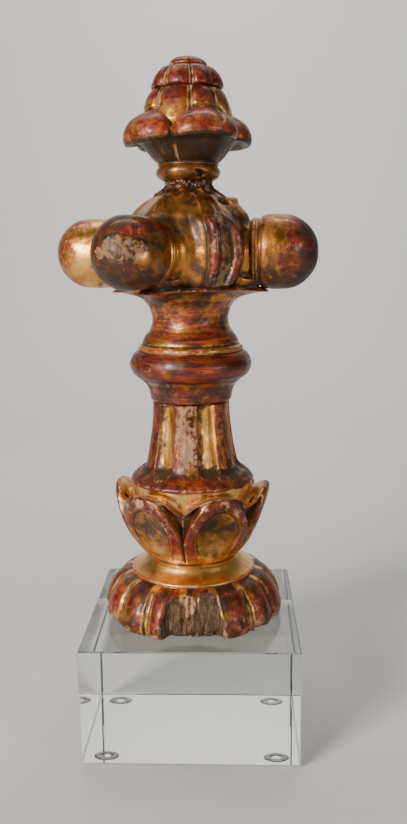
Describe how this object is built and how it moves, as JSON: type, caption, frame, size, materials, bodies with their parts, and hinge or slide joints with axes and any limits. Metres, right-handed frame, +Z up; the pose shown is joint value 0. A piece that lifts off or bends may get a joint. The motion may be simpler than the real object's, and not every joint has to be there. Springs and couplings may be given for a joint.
{
  "type": "giltwood finial on acrylic block",
  "caption": "Carved giltwood finial with a curled bud, ball-ended knop, fluted shaft, leaf cup and gadrooned foot, standing on a clear square block.",
  "frame": {"origin": "on the ground under the middle of the block, below the bumper feet", "axes": "+Z up along the finial, -Y towards the worn front of its foot, the block square to X and Y"},
  "size_m": [0.1228, 0.1075, 0.3222],
  "materials": {
    "gilding": "rubbed water gilding over red bole and gesso on carved wood",
    "acrylic": "polished clear acrylic",
    "bumper": "clear soft stick-on bumper"
  },
  "bodies": {
    "root": {"finial": "gilding", "acrylic_block": "acrylic", "foot_front_left": "bumper", "foot_front_right": "bumper", "foot_back_left": "bumper", "foot_back_right": "bumper"}
  },
  "joints": []
}
